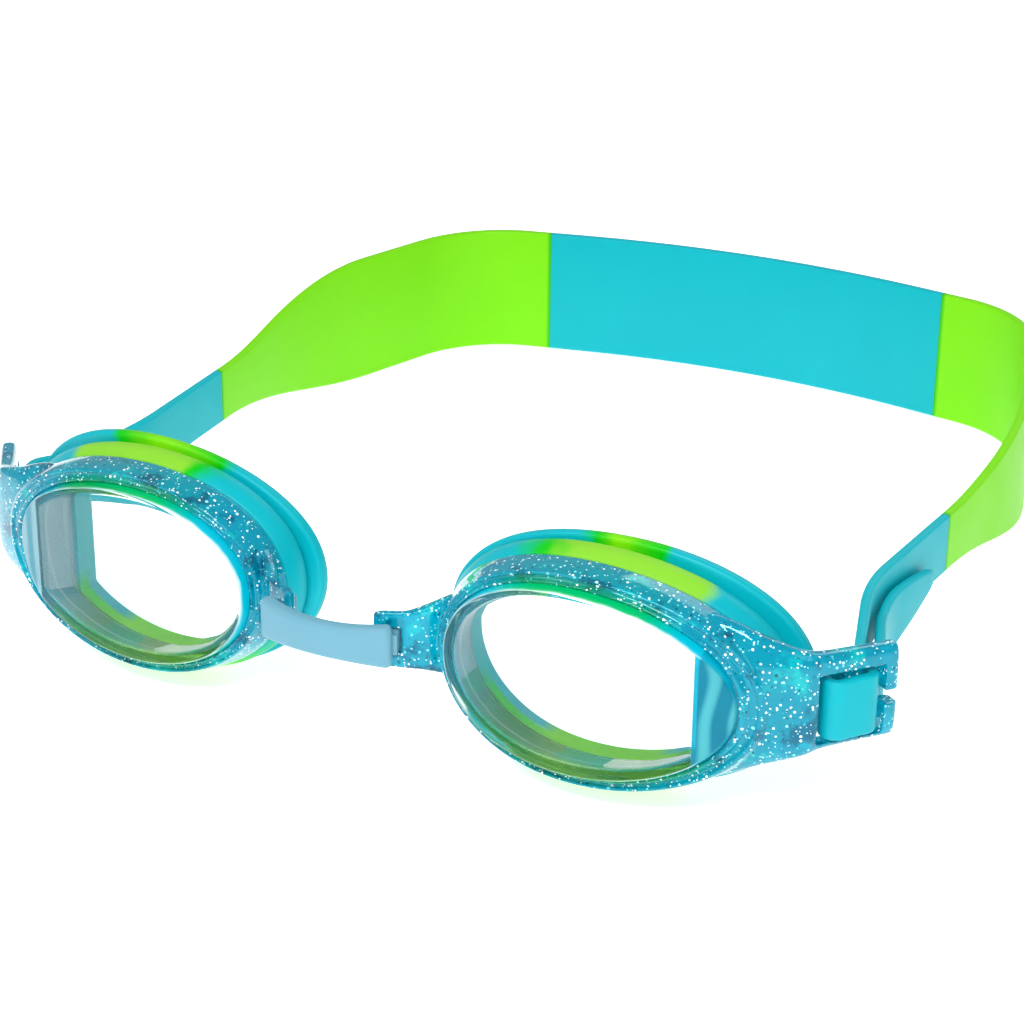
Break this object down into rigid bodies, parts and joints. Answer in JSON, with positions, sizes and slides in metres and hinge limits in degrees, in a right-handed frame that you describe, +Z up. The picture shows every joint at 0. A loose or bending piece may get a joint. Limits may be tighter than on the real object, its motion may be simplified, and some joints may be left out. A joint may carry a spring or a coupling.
{
  "type": "swim goggles",
  "caption": "Child's swim goggles: clear wrapped lenses in translucent frames with soft face seals, a hooked nose bridge and a wide looped head strap.",
  "frame": {"origin": "bottom centre of the bounding box, on the table that the pair rests on", "axes": "+X across the face towards the pieces named right, -Y to the front of the lenses, +Z up"},
  "size_m": [0.1526, 0.15, 0.0365],
  "materials": {
    "lens_clear": "clear, glossy",
    "frame_glitter": "translucent, glossy, with silver flakes",
    "seal_teal_lime": "satin silicone, teal with lime patches",
    "strap_teal": "satin silicone",
    "strap_lime": "satin silicone",
    "bridge_grey_blue": "satin soft plastic"
  },
  "bodies": {
    "strap_back": {"strap_back_panel": "strap_teal"},
    "strap_right": {"strap_side_right": "strap_lime", "strap_end_right": "strap_teal"},
    "strap_left": {"strap_side_left": "strap_lime", "strap_end_left": "strap_teal"},
    "cup_right": {"lens_right": "lens_clear", "frame_right": "frame_glitter", "gasket_right": "seal_teal_lime"},
    "cup_left": {"lens_left": "lens_clear", "frame_left": "frame_glitter", "gasket_left": "seal_teal_lime"},
    "bridge": {"nose_bridge": "bridge_grey_blue"}
  },
  "joints": [
    {"name": "strap_flex_right", "type": "hinge", "parent": "strap_back", "child": "strap_right", "pos_m": [0.0393, 0.06853, 0.01091], "axis": [0, 0.1167, 0.9932], "range_deg": [-1, 1], "stiffness_Nm_per_rad": 0.03},
    {"name": "strap_flex_left", "type": "hinge", "parent": "strap_back", "child": "strap_left", "pos_m": [-0.0393, 0.06853, 0.01091], "axis": [0, 0.1167, 0.9932], "range_deg": [-1, 1], "stiffness_Nm_per_rad": 0.03},
    {"name": "cup_turn_right", "type": "hinge", "parent": "strap_right", "child": "cup_right", "pos_m": [0.0711, -0.05429, 0.0188], "axis": [0, 0.1167, 0.9932], "range_deg": [-7, 7], "stiffness_Nm_per_rad": 0.04},
    {"name": "cup_turn_left", "type": "hinge", "parent": "strap_left", "child": "cup_left", "pos_m": [-0.0711, -0.05429, 0.0188], "axis": [0, 0.1167, 0.9932], "range_deg": [-7, 7], "stiffness_Nm_per_rad": 0.04},
    {"name": "nose_flex", "type": "hinge", "parent": "cup_right", "child": "bridge", "pos_m": [0.0094, -0.06879, 0.0205], "axis": [0, 0.1167, 0.9932], "range_deg": [-7, 7], "stiffness_Nm_per_rad": 0.01}
  ],
  "couplings": [
    {"joint": "strap_flex_right", "follows": "cup_turn_right", "ratio": -0.10618},
    {"joint": "strap_flex_left", "follows": "cup_turn_right", "ratio": 0.10618},
    {"joint": "cup_turn_left", "follows": "cup_turn_right", "ratio": -1},
    {"joint": "nose_flex", "follows": "cup_turn_right", "ratio": -0.89382}
  ]
}
